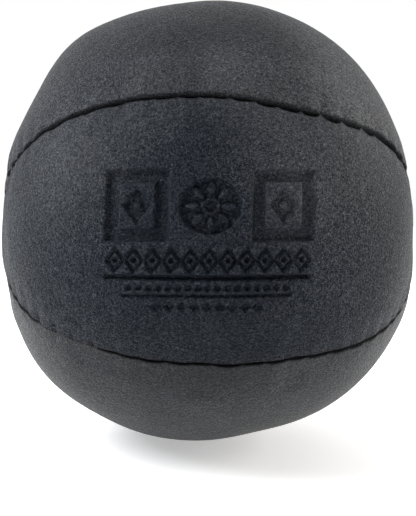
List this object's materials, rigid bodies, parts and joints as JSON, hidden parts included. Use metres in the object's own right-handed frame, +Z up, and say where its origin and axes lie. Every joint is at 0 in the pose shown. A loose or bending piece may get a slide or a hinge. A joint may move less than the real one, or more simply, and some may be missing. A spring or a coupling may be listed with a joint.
{
  "type": "medicine ball",
  "caption": "Palm-size weighted exercise ball of hand-stitched black leather gores over fibre stuffing and a sand core, for rolling and squeezing under hand or foot.",
  "frame": {"origin": "centre of the ball, which is also the centre of its box", "axes": "+X along the pole axis through the two points where the gores meet; the stamped gore faces -Y; +Z up"},
  "size_m": [0.0634, 0.0678, 0.0678],
  "materials": {
    "leather": "matte, fine grained",
    "canvas": "unbleached cotton",
    "thread": "waxed linen",
    "fibre": "soft wadding",
    "twine": "twisted jute",
    "sand": "fine dry grains"
  },
  "bodies": {
    "root": {"panel_front": "leather", "panel_upper_front": "leather", "panel_upper_back": "leather", "panel_back": "leather", "panel_lower_back": "leather", "panel_lower_front": "leather", "lining_front": "canvas", "lining_upper_front": "canvas", "lining_upper_back": "canvas", "lining_back": "canvas", "lining_lower_back": "canvas", "lining_lower_front": "canvas", "closing_seam_thread": "thread", "upper_seam_thread": "thread", "upper_back_seam_thread": "thread", "lower_back_seam_thread": "thread", "lower_seam_thread": "thread", "front_lower_seam_thread": "thread", "pole_tie_left": "thread", "pole_tie_right": "thread", "stuffing_left": "fibre", "stuffing_right": "fibre", "core_bag": "canvas", "core_twine": "twine", "core_sand": "sand"}
  },
  "joints": []
}
